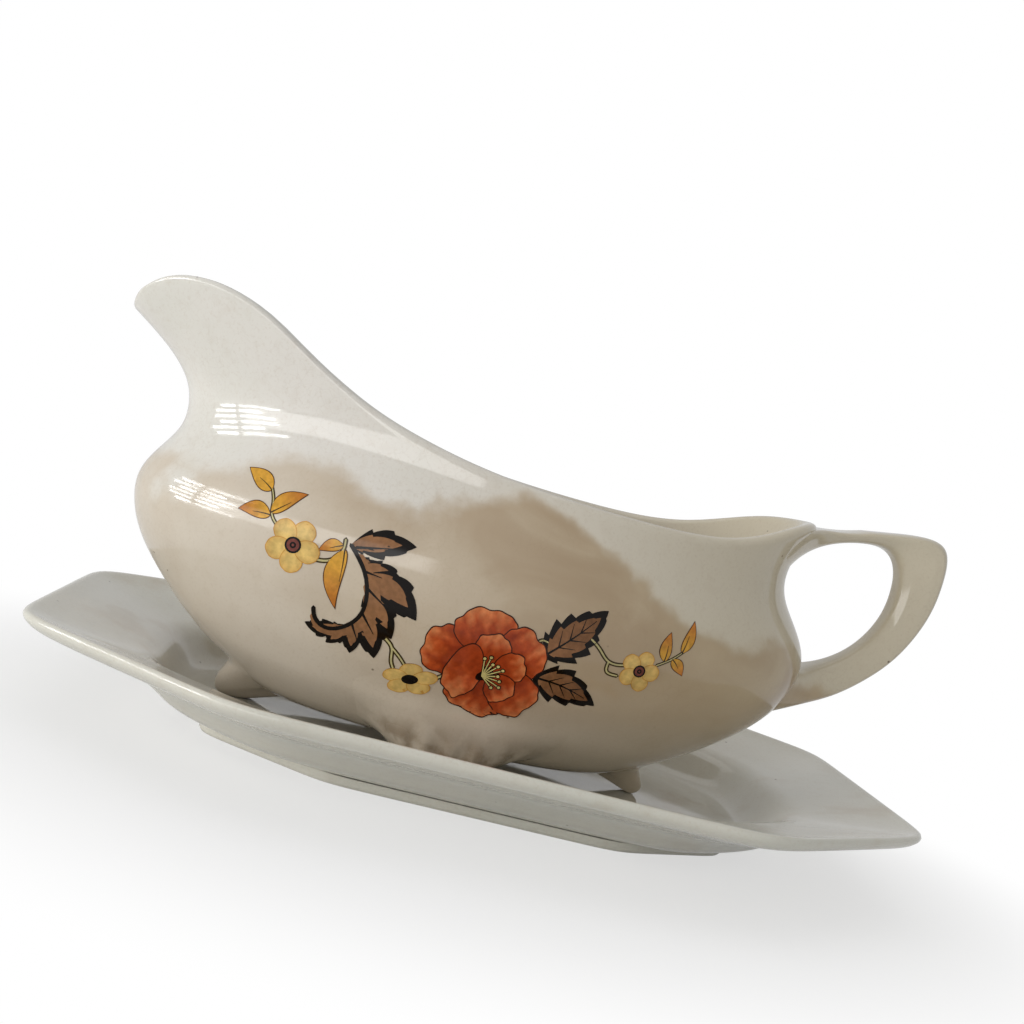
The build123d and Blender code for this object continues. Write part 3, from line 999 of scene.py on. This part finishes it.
def drawScrollLeaf(sheet, scale, move, turn=0.0, golden=False):
    # a long curled leaf: toothed lobes along the outer side of a hooked rib
    c, s = math.cos(math.radians(turn)), math.sin(math.radians(turn))

    def place(x, z):
        return np.array([move[0] + (x * c - z * s) * scale, move[1] + (x * s + z * c) * scale])

    lobes = [
        # root, tip, half width, sag
        ((0, 0), (13.6, 3.4), 3.0, 0.03), ((1.8, -2.2), (10.0, -2.6), 1.5, -0.10),
        ((3.2, -3.6), (13.8, -6.4), 2.4, 0.08), ((4.4, -5.4), (17.8, -12.0), 3.9, 0.10),
        ((5.6, -9.6), (13.8, -17.6), 3.2, 0.06), ((6.0, -13.0), (11.4, -23.0), 3.2, 0.05),
        ((4.6, -16.0), (6.0, -23.4), 2.4, 0.04), ((3.4, -17.4), (0.4, -22.6), 2.0, 0.06),
        ((2.4, -18.0), (-5.2, -19.4), 2.0, 0.14),
    ]
    for k, (root, tip, width, sag) in enumerate(lobes):
        root, tip = place(*root), place(*tip)
        sheet.append((
            leafOutline(root, tip, width * scale, sag, 3, 0.30, lean=0.86), 1 + k * 0.5, flat("black")
        ))
        fill = "gold" if golden and tip[0] > place(9, 0)[0] else "brown"
        sheet.append((
            leafOutline(root, tip, width * 0.58 * scale, sag, 3, 0.26, 0.0, 0.78, lean=0.80),
            1.25 + k * 0.5, flat(fill)
        ))
    ribPath = [
        (0, 0), (4.2, -4.6), (6.2, -10), (5.9, -14.4), (3.0, -18.0), (-0.8, -19.2), (-3.4, -17.6),
        (-4.2, -15.6),
    ]
    rib = [place(*p) for p in ribPath]
    sheet.append((stroke(rib, 0.9 * scale, 0.9 * scale, 60), 6, flat("black")))
    bodyPath = [
        (2.6, -1.8), (6.6, -6.2), (8.3, -11.0), (7.6, -15.4),
        (4.6, -18.6), (0.8, -20.1), (-2.6, -19.3), (-3.9, -17.4),
    ]
    body = [place(*p) for p in bodyPath]
    sheet.append((stroke(body, 1.4 * scale, 1.2 * scale, 50), 5.3, flat("brown")))
    heart = [place(*p) for p in ((6.4, -7.2), (7.9, -11.2), (7.2, -15.2), (4.6, -18.0))]
    sheet.append((stroke(heart, 3.4 * scale, 3.0 * scale, 30), 5.4, flat("brown")))
    veins = [
        ((5.8, -8.0), (11.4, -11.4)), ((6.2, -13.6), (9.8, -17.6)), ((4.6, -16.4), (6.8, -20.0)),
        ((1.2, -0.2), (9.4, 1.8)), ((4.0, -4.6), (8.2, -5.0)),
    ]
    for root, tip in veins:
        sheet.append((stroke([place(*root), place(*tip)], 0.62 * scale, 0.12 * scale, 8), 6, flat("black")))


def boatSpray():
    sheet = []
    drawStem(sheet, [(-49.4, 46.2), (-51.9, 48.8), (-52.3, 51.2), (-53.4, 54.0)], 0.45)
    drawGoldLeaf(sheet, (-53.4, 53.6), (-59.4, 56.8), 1.9, -0.05, "gold")
    drawGoldLeaf(sheet, (-52.1, 49.0), (-45.6, 54.8), 1.6, 0.10)
    drawGoldLeaf(sheet, (-52.2, 48.4), (-59.2, 47.8), 1.7, -0.10)
    drawStem(sheet, [(-40.8, 42.0), (-37.4, 42.6), (-35.0, 45.4), (-35.0, 48.0)], 0.7)
    drawFlower(sheet, (-45.6, 43.6), 5.9, 62)
    drawGoldLeaf(sheet, (-35.2, 46.6), (-40.0, 44.2), 1.25, -0.10)
    drawGoldLeaf(sheet, (-34.6, 45.8), (-33.4, 33.0), 2.0, -0.12)
    drawScrollLeaf(sheet, 1.0, (-33.6, 47.2))
    drawStem(sheet, [(-21.4, 29.6), (-19.2, 27.8), (-18.4, 24.6), (-17.6, 23.2)], 0.7)
    drawStem(sheet, [(-19.2, 27.8), (-16.6, 25.8), (-15.2, 24.4)], 0.6)
    drawStem(sheet, [(-8.2, 23.2), (-6.2, 24.8), (-3.4, 25.2)], 0.7)
    drawFlower(sheet, (-13.3, 21.6), 6.0, 100, "black", 0.62, 12)
    drawStem(sheet, [(10.6, 35.6), (11.8, 38.2), (14.2, 37.8)], 0.6)
    drawPoppy(sheet, (0.9, 27.6), 1.0, poppyPetals)
    drawInkLeaf(sheet, (13.2, 34.8), (24.6, 48.2), 5.0, -0.02, 5)
    drawInkLeaf(sheet, (12.6, 29.6), (28.4, 26.2), 4.1, 0.06, 4)
    drawStem(sheet, [(22.6, 41.2), (25.2, 39.4), (28.0, 37.2), (29.6, 36.9), (32.6, 37.4)], 0.65)
    drawStem(sheet, [(28.0, 37.0), (28.2, 35.0), (31.0, 34.4)], 0.6)
    drawFlower(sheet, (35.8, 36.6), 4.7, 75)
    drawStem(sheet, [(39.4, 38.8), (42.6, 41.0), (45.4, 43.8)], 0.35)
    drawGoldLeaf(sheet, (40.9, 40.2), (40.6, 46.8), 1.35, 0.06)
    drawGoldLeaf(sheet, (44.6, 43.0), (45.8, 50.4), 1.25, -0.06)
    drawGoldLeaf(sheet, (42.8, 41.0), (46.4, 37.8), 1.25, 0.06)
    return sheet


def dishSpray():
    sheet = []
    drawGoldLeaf(sheet, (-35.4, -0.4), (-38.8, 3.2), 1.5, 0.06)
    drawGoldLeaf(sheet, (-35.4, -0.8), (-40.6, -5.8), 1.7, 0.06)
    drawStem(sheet, [(-28.4, 1.8), (-25.8, 3.2), (-23.2, 6.0)], 0.5)
    drawFlower(sheet, (-31.4, 1.0), 3.9, 80, "maroon", 0.9, 0)
    drawScrollLeaf(sheet, 0.72, (-22.0, 6.4), -18.0, True)
    drawStem(sheet, [(-12.4, -1.4), (-9.0, -1.6), (-6.0, -0.8)], 0.5)
    drawGoldLeaf(sheet, (5.6, 6.0), (5.2, 10.4), 1.4, 0.06, "gold")
    drawGoldLeaf(sheet, (6.8, 6.6), (13.4, 8.4), 1.2, 0.08, "gold")
    drawStem(sheet, [(8.6, -1.4), (11.8, -3.0), (14.4, -5.2), (18.2, -3.2), (19.0, 0.6)], 0.6)
    drawPoppy(sheet, (0.4, 0.0), 0.76, poppyPetals)
    drawGoldLeaf(sheet, (12.2, -3.2), (15.8, -0.8), 1.2, 0.06, "gold")
    drawInkLeaf(sheet, (14.4, -5.2), (14.8, -11.4), 2.9, 0.02, 4, 2)
    drawInkLeaf(sheet, (17.2, -4.0), (25.0, -8.2), 2.9, 0.05, 4, 2)
    drawFlower(sheet, (21.0, 3.9), 4.5, 75, "black", 0.9, 0)
    drawStem(sheet, [(25.6, 3.2), (28.6, 3.2), (31.4, 2.0), (33.6, -0.6)], 0.3)
    drawGoldLeaf(sheet, (31.4, 2.0), (37.6, 4.0), 1.3, -0.06, "gold")
    drawGoldLeaf(sheet, (31.6, 1.6), (27.4, -4.6), 1.4, -0.08, "gold")
    drawGoldLeaf(sheet, (33.4, -0.6), (41.0, -2.6), 1.4, 0.06, "gold")
    return sheet


def fillPoints(outline, step):
    # evenly spread points well inside an outline, by the even-odd rule
    low, high = outline.min(axis=0), outline.max(axis=0)
    x, z = np.meshgrid(np.arange(low[0], high[0], step), np.arange(low[1], high[1], step * 0.87))
    x[1::2] += step / 2
    p = np.stack([x.ravel(), z.ravel()], axis=1)
    a, b = outline, np.roll(outline, -1, axis=0)
    over = (a[:, 1][None] > p[:, 1][:, None]) != (b[:, 1][None] > p[:, 1][:, None])
    rise = np.where(b[:, 1] == a[:, 1], 1e-9, b[:, 1] - a[:, 1])
    offset = (b[:, 0] - a[:, 0])[None] * (p[:, 1][:, None] - a[:, 1][None]) / rise[None]
    cross = p[:, 0][:, None] < offset + a[:, 0][None]
    inside = (over & cross).sum(axis=1) % 2 == 1
    run = b - a
    along = np.clip(
        ((p[:, None] - a[None]) * run[None]).sum(axis=2) / ((run ** 2).sum(axis=1)[None] + 1e-12), 0, 1
    )
    near = np.linalg.norm(p[:, None] - (a[None] + run[None] * along[..., None]), axis=2).min(axis=1)
    return p[inside & (near > step * 0.45)]


def printSpray(name, sheet, place, body):
    # each shape becomes a thin skin of colour: its face just proud of the glaze, its back under it
    points, normals, faces, colours = [], [], [], []
    for outline, layer, shade in sheet:
        inner = fillPoints(outline, ink["fillStep"])
        flatPoints = np.concatenate([outline, inner])
        count = len(outline)
        edges = [(k, (k + 1) % count) for k in range(count)]
        result = geometry.delaunay_2d_cdt([Vector(p) for p in flatPoints], edges, [], 1, 1e-5)
        corners = np.array([tuple(p) for p in result[0]])
        lift = ink["lift"] + ink["layerStep"] * layer
        ground, normal = place(corners)
        upper, lower = ground + normal * lift, ground - normal * ink["depth"]
        first, size = len(points), len(corners)
        points += list(upper) + list(lower)
        normals += list(normal) * 2
        tone = shade(corners)
        colours += list(tone) * 2
        border = {}
        for face in result[2]:
            faces.append(tuple(first + k for k in face))
            faces.append(tuple(first + size + k for k in reversed(face)))
            for k, j in zip(face, list(face[1:]) + [face[0]]):
                if (j, k) in border:
                    del border[(j, k)]
                else:
                    border[(k, j)] = True
        faces += [(first + j, first + k, first + size + k, first + size + j) for k, j in border]
    piece = newPiece(name, np.array(points) * mm, faces, sprayInkMaterial)
    attribute = piece.data.color_attributes.new("ink", "FLOAT_COLOR", "POINT")
    rgba = np.ones((len(points), 4), np.float32)
    rgba[:, :3] = np.array(colours)
    attribute.data.foreach_set("color", rgba.ravel())
    piece.data.normals_split_custom_set_from_vertices([tuple(n) for n in normals])
    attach(piece, body)
    print(name, len(faces), "faces")
    return piece


def heightField(pieces, start, direction, axis, low, high):
    # the pieces' outer surface as a smooth height along one axis, sampled on a grid of millimetres
    corners, faces = [], []
    for piece in pieces:
        first = len(corners)
        corners += [v.co for v in piece.data.vertices]
        faces += [[first + k for k in face.vertices] for face in piece.data.polygons]
    tree = BVHTree.FromPolygons(corners, faces)
    step = 1.5
    others = [k for k in range(3) if k != axis]
    across = [np.arange(low[k], high[k] + step, step) for k in range(2)]
    table = np.zeros((len(across[0]), len(across[1])))
    origin = np.zeros(3)
    origin[axis] = start
    for i, a in enumerate(across[0]):
        for j, b in enumerate(across[1]):
            origin[others[0]], origin[others[1]] = a * mm, b * mm
            hit = tree.ray_cast(Vector(origin), direction)[0]
            table[i, j] = hit[axis] / mm if hit else np.nan
    table[np.isnan(table)] = np.nanmean(table)    # only corners beyond the drawing miss

    def weights(t):    # cubic weights of the four nearest samples
        return np.stack([
            -t + 2 * t ** 2 - t ** 3, 2 - 5 * t ** 2 + 3 * t ** 3, t + 4 * t ** 2 - 3 * t ** 3,
            t ** 3 - t ** 2
        ]) / 2

    def height(points):
        cell = [(points[:, others[k]] - low[k]) / step for k in range(2)]
        base = [np.clip(np.floor(c).astype(int), 1, len(across[k]) - 3) for k, c in enumerate(cell)]
        first, second = weights(cell[0] - base[0]), weights(cell[1] - base[1])
        total = np.zeros(len(points))
        for i in range(4):
            for j in range(4):
                total += first[i] * second[j] * table[base[0] + i - 1, base[1] + j - 1]
        return total
    return height


def layOn(height, axis, sign, flatten):
    # wraps a flat drawing on a surface that can be read as a height along one axis
    others = [k for k in range(3) if k != axis]
    nudge = 0.7

    def place(p):
        spots = flatten(p)
        spots[:, axis] = height(spots)
        normal = np.zeros_like(spots)
        normal[:, axis] = sign
        for k in others:
            moved = spots.copy()
            moved[:, k] += nudge
            back = spots.copy()
            back[:, k] -= nudge
            normal[:, k] = -(height(moved) - height(back)) / (2 * nudge) * sign
        normal /= np.linalg.norm(normal, axis=1, keepdims=True)
        return spots, normal
    return place


def hullSide(side, turned):
    # one flank of the boat with its side foot; turned runs the drawing the other way round
    foot = bpy.data.objects["frontSideFoot" if side < 0 else "backSideFoot"]
    middle = boatPlace[[0, 2]] / mm
    low, high = middle + ink["flankLow"], middle + ink["flankHigh"]
    height = heightField([shell, foot], side * 0.2, Vector((0, -side, 0)), 1, low, high)

    def flatten(p):
        x = -p[:, 0] - ink["farSideShift"] if turned else p[:, 0]
        return np.stack([x, 0 * x, p[:, 1]], axis=1) + boatPlace / mm
    return layOn(height, 1, side, flatten)


def dishRim(side):
    # a long side of the dish's rim, the drawing's foot towards the well
    middle, reach = float(halfDish[1]) - ink["rimInset"], ink["rimReach"]
    inner, outer = side * (middle - ink["rimInward"]), side * (middle + ink["rimOutward"])
    low, high = (-reach, min(inner, outer)), (reach, max(inner, outer))
    height = heightField([dish], 0.1, Vector((0, 0, -1)), 2, low, high)

    def flatten(p):
        return np.stack([p[:, 0] * side, (middle + p[:, 1]) * side, 0 * p[:, 0]], axis=1)
    return layOn(height, 2, 1, flatten)


boatSheet, dishSheet = boatSpray(), dishSpray()
printSpray("frontSpray", boatSheet, hullSide(-1, False), "boat")
printSpray("backSpray", boatSheet, hullSide(1, True), "boat")
printSpray("farRimSpray", dishSheet, dishRim(1), "stand")
printSpray("nearRimSpray", dishSheet, dishRim(-1), "stand")


# stage, lights, camera
studio = {
    "floorHalf": 4.0, "floorColour": srgb(240, 240, 239), "shadowReach": 0.19, "worldFill": 0.42,
    "glossyBackdrop": 0.4, "windowPlace": (-0.730, -0.215, 0.16), "slats": 6, "slatLength": 0.23,
    "slatHeight": 0.026, "slatPitch": 0.056, "mullion": 0.030, "slatPower": 0.19, "skyPower": 2.5,
    "wallPower": 9.4, "wallPlace": (-1.0, -1.25, 0.16), "cameraDistance": 0.300, "cameraTurn": -9.0,
    "cameraRise": 1.6, "cameraRoll": 16.0, "lens": 41.5, "target": (11.9, 0.0, 64.5), "shiftLeft": 0.035,
    "clipStart": 0.01, "aim": (-0.02, 0, 0.06), "skyPlace": (-0.3, 0.1, 1.3), "skySize": 1.2,
    "wallSize": (1.8, 0.6), "windowColour": (0.98, 0.99, 1.0), "skyColour": (1.0, 1.0, 1.0),
    "wallColour": (1.0, 0.995, 0.985), "shadowStart": 0.10, "shadowShape": (1.0, 1.35, 1.0),
    "nearWhite": 0.60,
}


def buildStage():
    material = bpy.data.materials.new("paleFloor")
    material.use_nodes = True
    tree = material.node_tree
    shader = tree.nodes["Principled BSDF"]
    shader.inputs["Base Color"].default_value = studio["floorColour"]
    shader.inputs["Roughness"].default_value = 0.9
    shader.inputs["Specular IOR Level"].default_value = 0.1
    # white to the camera away from the object, its own shadow kept near it
    rays = tree.nodes.new("ShaderNodeLightPath").outputs
    where = tree.nodes.new("ShaderNodeTexCoord").outputs["Object"]
    oval = addNode(
        tree, "ShaderNodeVectorMath", {0: where, 1: studio["shadowShape"]}, operation="MULTIPLY"
    ).outputs[0]
    away = addNode(tree, "ShaderNodeVectorMath", {0: oval}, operation="LENGTH").outputs["Value"]
    white = remap(tree, away, studio["shadowStart"], studio["shadowReach"], studio["nearWhite"], 1.0)
    glossy = times(tree, rays["Is Glossy Ray"], studio["glossyBackdrop"])
    seen = maths(tree, "MAXIMUM", rays["Is Camera Ray"], glossy)
    glow = addNode(tree, "ShaderNodeEmission", {"Color": (1, 1, 1, 1), "Strength": 1.0})
    mix = addNode(
        tree, "ShaderNodeMixShader", {0: times(tree, seen, white), 1: shader.outputs[0], 2: glow.outputs[0]}
    )
    tree.links.new(mix.outputs[0], tree.nodes["Material Output"].inputs["Surface"])
    half = studio["floorHalf"]
    floor = newPiece(
        "floor", [(-half, -half, 0), (half, -half, 0), (half, half, 0), (-half, half, 0)], [(0, 1, 2, 3)],
        material
    )
    world = bpy.data.worlds.new("paleRoom")
    bpy.context.scene.world = world
    world.use_nodes = True
    tree = world.node_tree
    background = tree.nodes["Background"]
    rays = tree.nodes.new("ShaderNodeLightPath").outputs
    glossy = times(tree, rays["Is Glossy Ray"], studio["glossyBackdrop"])
    seen = maths(tree, "MAXIMUM", rays["Is Camera Ray"], glossy)
    strength = plus(tree, times(tree, seen, 1 - studio["worldFill"]), studio["worldFill"])
    tree.links.new(strength, background.inputs["Strength"])
    background.inputs["Color"].default_value = (1, 1, 1, 1)


def areaLight(name, place, aim, width, height, power, tint):
    data = bpy.data.lights.new(name, "AREA")
    data.shape = "RECTANGLE"
    data.size, data.size_y = width, height
    data.energy = power
    data.color = tint
    lamp = bpy.data.objects.new(name, data)
    lamp.location = place
    lamp.rotation_euler = (Vector(aim) - Vector(place)).to_track_quat("-Z", "Y").to_euler()
    bpy.context.collection.objects.link(lamp)


def buildLights():
    # a slatted window low on the spout's side, and a soft sky overhead
    aim = Vector(studio["aim"])
    window = Vector(studio["windowPlace"])
    facing = (aim - window).normalized()
    across = facing.cross(Vector((0, 0, 1))).normalized()
    upright = across.cross(facing)
    for column in (-0.5, 0.5):
        for row in range(studio["slats"]):
            # leaves outside break the slats' ends unevenly
            length = studio["slatLength"] * (0.78 + 0.22 * math.sin(row * 2.3 + column * 4.0))
            centre = window + across * column * (length + studio["mullion"])
            centre += upright * (row - (studio["slats"] - 1) / 2) * studio["slatPitch"]
            areaLight(
                "windowSlat", centre, centre + facing, length, studio["slatHeight"], studio["slatPower"],
                studio["windowColour"]
            )
    sky = studio["skySize"]
    areaLight("skyAbove", studio["skyPlace"], aim, sky, sky, studio["skyPower"], studio["skyColour"])
    areaLight(
        "paleWall", studio["wallPlace"], aim, *studio["wallSize"], studio["wallPower"], studio["wallColour"]
    )


def buildCamera():
    data = bpy.data.cameras.new("mainView")
    data.sensor_width = 36.0
    data.lens = studio["lens"]
    data.clip_start = studio["clipStart"]
    data.shift_x = -studio["shiftLeft"]
    camera = bpy.data.objects.new("mainView", data)
    target = Vector(onBoat(studio["target"]))
    turn, rise = math.radians(studio["cameraTurn"]), math.radians(studio["cameraRise"])
    away = Vector((math.sin(turn) * math.cos(rise), -math.cos(turn) * math.cos(rise), math.sin(rise)))
    camera.location = target + away * studio["cameraDistance"]
    facing = (-away).to_track_quat("-Z", "Y")
    roll = facing @ Quaternion((0, 0, 1), math.radians(studio["cameraRoll"]))
    camera.rotation_euler = roll.to_euler()
    bpy.context.collection.objects.link(camera)
    bpy.context.scene.camera = camera


buildStage()
buildLights()
buildCamera()
bpy.context.scene.view_settings.view_transform = "Standard"
